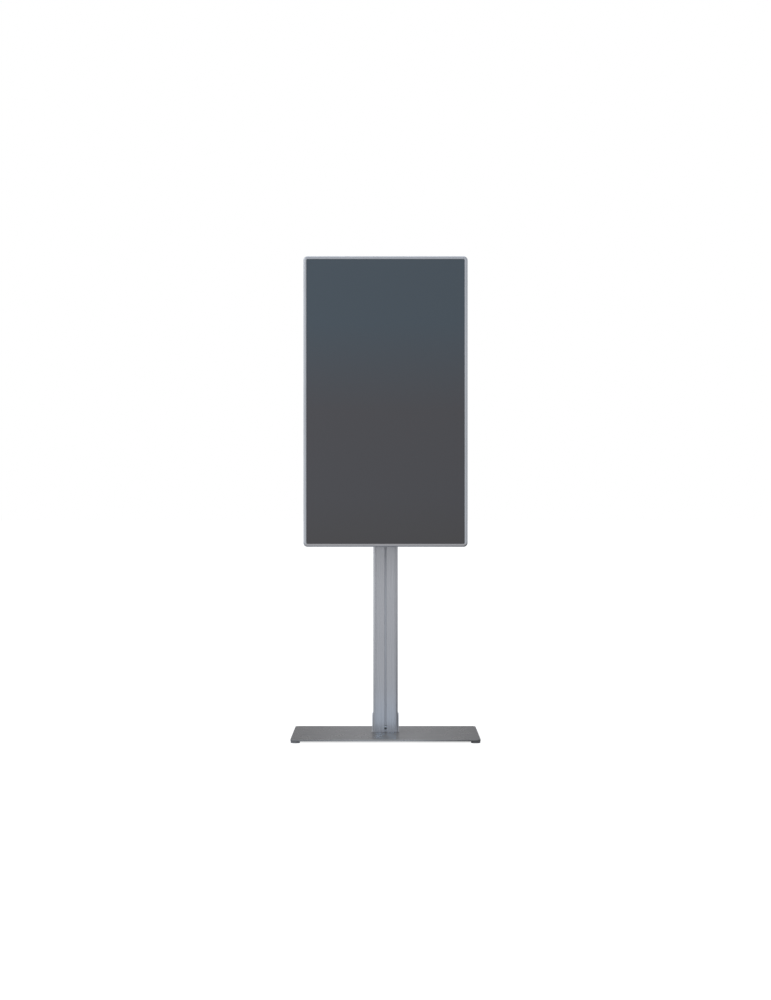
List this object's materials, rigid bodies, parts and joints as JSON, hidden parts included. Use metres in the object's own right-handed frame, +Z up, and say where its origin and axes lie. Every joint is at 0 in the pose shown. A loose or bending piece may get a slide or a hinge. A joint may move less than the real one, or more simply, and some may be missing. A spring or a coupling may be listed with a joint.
{
  "type": "touchscreen kiosk",
  "caption": "Free-standing portrait touchscreen kiosk: slim framed glass display head with tilt and height carriage on a slotted column and a flat base plate with levelling feet.",
  "frame": {"origin": "on the floor, under the middle of the base plate", "axes": "+Z up, the screen faces -Y, +X to the right of someone facing the screen"},
  "size_m": [0.812, 0.5, 2.09],
  "materials": {
    "base_paint": "silver-grey powder coat, fine texture, satin",
    "cheek_paint": "silver powder coat, satin",
    "column_alu": "natural anodised, fine lengthwise grain, satin",
    "frame_alu": "natural anodised, satin",
    "slot_grey": "grey moulded plastic, matt",
    "zinc_block": "zinc plated, satin",
    "black_oxide": "black oxide, satin",
    "glide_rubber": "dark grey moulded rubber, matt",
    "cover_glass": "dark toughened glass, polished",
    "touch_film": "thin clear film with sensor grid",
    "gasket_foam": "closed-cell foam, matt",
    "panel_glass": "dark panel glass with polariser",
    "white_plastic": "white moulded and extruded optical plastic",
    "head_paint": "dark grey powder coat, fine texture, matt",
    "bracket_paint": "black powder coat, fine texture, matt",
    "zinc_steel": "zinc plated steel, satin",
    "board_green": "green solder mask with components",
    "black_plastic": "black moulded plastic, fine texture",
    "io_paint": "black powder coat, matt",
    "nickel": "nickel plated, satin"
  },
  "bodies": {
    "stand": {"base_plate": "base_paint", "foot_cheek_left": "cheek_paint", "foot_cheek_right": "cheek_paint", "foot_spigot": "zinc_steel", "column": "column_alu", "column_top_cap": "slot_grey", "front_slot_strip": "slot_grey", "slot_end_block": "zinc_block", "slot_end_screw": "black_oxide", "rear_cable_cover": "column_alu", "cheek_screw_left": "zinc_steel", "cheek_screw_right": "zinc_steel", "cable_grommet": "glide_rubber"},
    "foot_front_left": {"levelling_foot_front_left": "glide_rubber"},
    "foot_front_right": {"levelling_foot_front_right": "glide_rubber"},
    "foot_rear_left": {"levelling_foot_rear_left": "glide_rubber"},
    "foot_rear_right": {"levelling_foot_rear_right": "glide_rubber"},
    "carriage": {"carriage_bracket": "bracket_paint", "carriage_bolt_upper": "zinc_steel", "carriage_bolt_lower": "zinc_steel", "slot_nut_upper": "zinc_steel", "slot_nut_lower": "zinc_steel", "pivot_bolt_left": "zinc_steel", "pivot_bolt_right": "zinc_steel"},
    "head": {"mount_plate": "head_paint", "vesa_screw_upper_left": "zinc_steel", "vesa_screw_upper_right": "zinc_steel", "vesa_screw_lower_left": "zinc_steel", "vesa_screw_lower_right": "zinc_steel", "frame_rail_top": "frame_alu", "frame_rail_bottom": "frame_alu", "frame_rail_left": "frame_alu", "frame_rail_right": "frame_alu", "corner_key_top_left": "zinc_steel", "corner_key_top_right": "zinc_steel", "corner_key_bottom_left": "zinc_steel", "corner_key_bottom_right": "zinc_steel", "cover_glass": "cover_glass", "touch_film": "touch_film", "glass_gasket": "gasket_foam", "lcd_cell": "panel_glass", "optical_sheets": "white_plastic", "light_guide": "white_plastic", "led_bar_left": "white_plastic", "led_bar_right": "white_plastic", "backlight_tray": "zinc_steel", "rear_cover": "head_paint", "power_supply": "board_green", "main_board": "board_green", "touch_controller": "board_green", "media_player": "black_plastic", "speaker_left": "black_plastic", "speaker_right": "black_plastic", "io_panel": "io_paint", "power_inlet": "black_plastic", "data_port_block": "nickel"},
    "door": {"service_door": "head_paint"},
    "lock": {"door_lock": "nickel"},
    "rocker": {"rocker_switch": "black_plastic"},
    "button": {"standby_button": "nickel"}
  },
  "joints": [
    {"name": "level_front_left", "type": "slide", "parent": "stand", "child": "foot_front_left", "axis": [0, 0, -1], "range_m": [0, 0.003]},
    {"name": "level_front_right", "type": "slide", "parent": "stand", "child": "foot_front_right", "axis": [0, 0, -1], "range_m": [0, 0.003]},
    {"name": "level_rear_left", "type": "slide", "parent": "stand", "child": "foot_rear_left", "axis": [0, 0, -1], "range_m": [0, 0.003]},
    {"name": "level_rear_right", "type": "slide", "parent": "stand", "child": "foot_rear_right", "axis": [0, 0, -1], "range_m": [0, 0.003]},
    {"name": "head_height", "type": "slide", "parent": "stand", "child": "carriage", "axis": [0, 0, 1], "range_m": [-0.15, 0.05]},
    {"name": "head_tilt", "type": "hinge", "parent": "carriage", "child": "head", "pos_m": [0, -0.028, 1.462], "axis": [-1, 0, 0], "range_deg": [0, 10]},
    {"name": "door_swing", "type": "hinge", "parent": "head", "child": "door", "pos_m": [0.257, -0.059, 1.105], "axis": [0, 0, -1], "range_deg": [0, 110]},
    {"name": "lock_turn", "type": "hinge", "parent": "door", "child": "lock", "pos_m": [0.092, -0.064, 1.105], "axis": [0, 1, 0], "range_deg": [0, 90]},
    {"name": "rocker_flip", "type": "hinge", "parent": "head", "child": "rocker", "pos_m": [-0.218, -0.066, 1.068], "axis": [1, 0, 0], "range_deg": [0, 18]},
    {"name": "standby_press", "type": "slide", "parent": "head", "child": "button", "axis": [0, -1, 0], "range_m": [0, 0.0015], "stiffness_N_per_m": 600}
  ]
}
